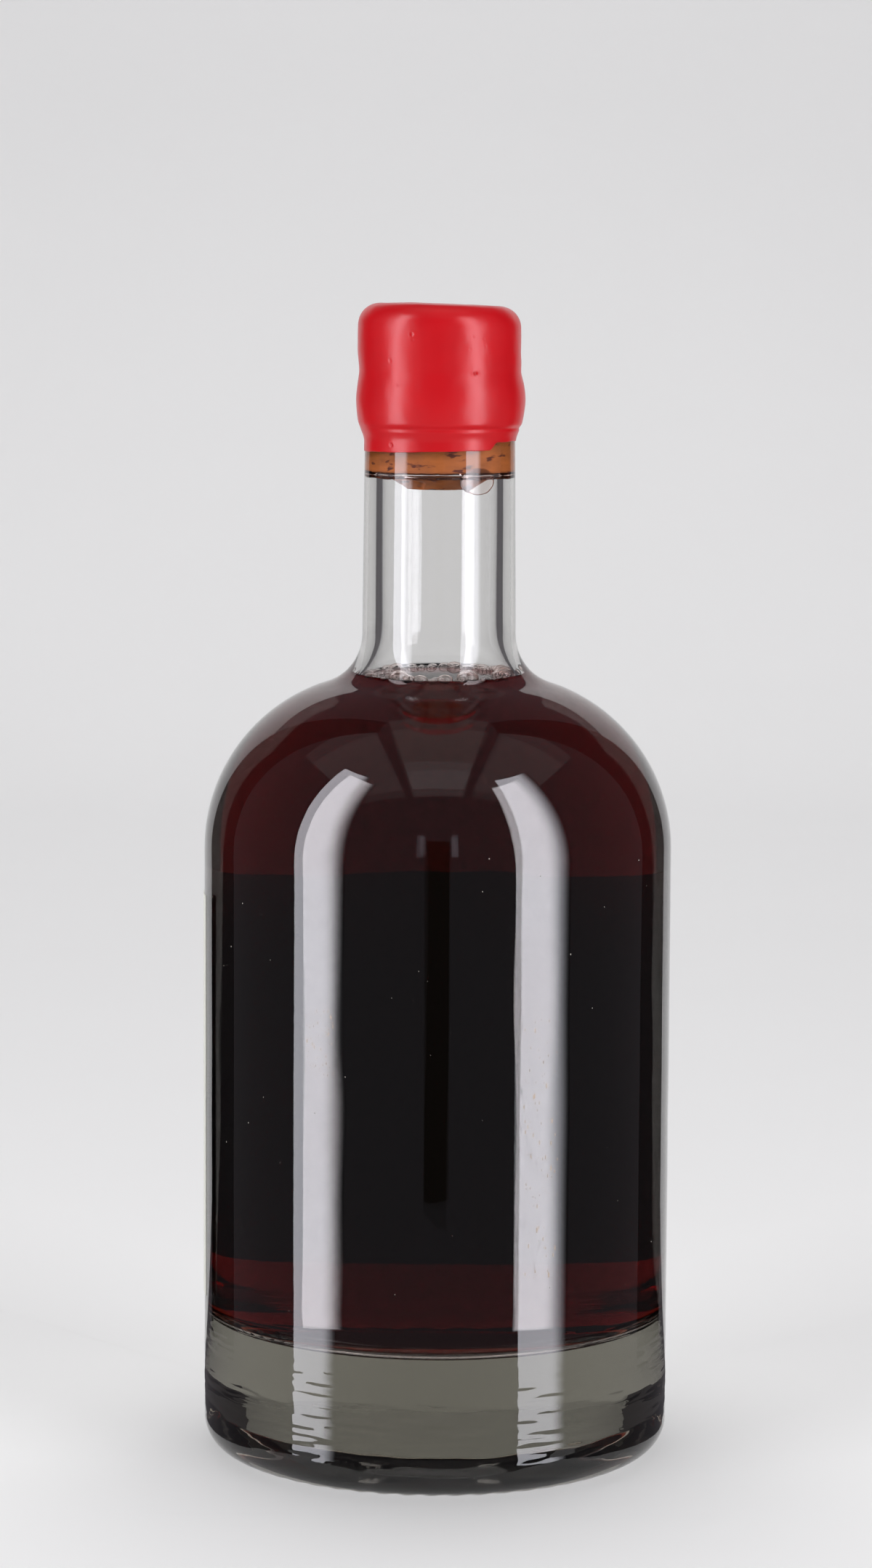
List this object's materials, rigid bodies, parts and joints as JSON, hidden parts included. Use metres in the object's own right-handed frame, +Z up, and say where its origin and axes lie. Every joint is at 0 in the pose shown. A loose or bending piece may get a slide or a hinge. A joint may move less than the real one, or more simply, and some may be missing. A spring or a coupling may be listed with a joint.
{
  "type": "wine bottle",
  "caption": "Short clear bottle with a heavy base and slim neck, filled with dark wine, stopped and sealed in red wax, with a bare paper label round the back.",
  "frame": {"origin": "middle of the foot, on the surface that the bottle stands on", "axes": "+Z up the bottle's axis to the wax seal; the bottle's bare front faces -Y and the label wraps round the back, +Y"},
  "size_m": [0.0863, 0.0863, 0.2125],
  "materials": {
    "clear_glass": "clear blown glass with a faint grey-green cast, polished",
    "red_wine": "dark red wine, nearly black in depth",
    "cork": "natural cork, stained by the drink at its foot",
    "sealing_wax": "satin bottle wax, dipped, with soft highlights",
    "label_paper": "uncoated off-white label paper, bare"
  },
  "bodies": {
    "root": {"bottle": "clear_glass", "wine": "red_wine", "stopper": "cork", "wax_seal": "sealing_wax", "label": "label_paper"}
  },
  "joints": []
}
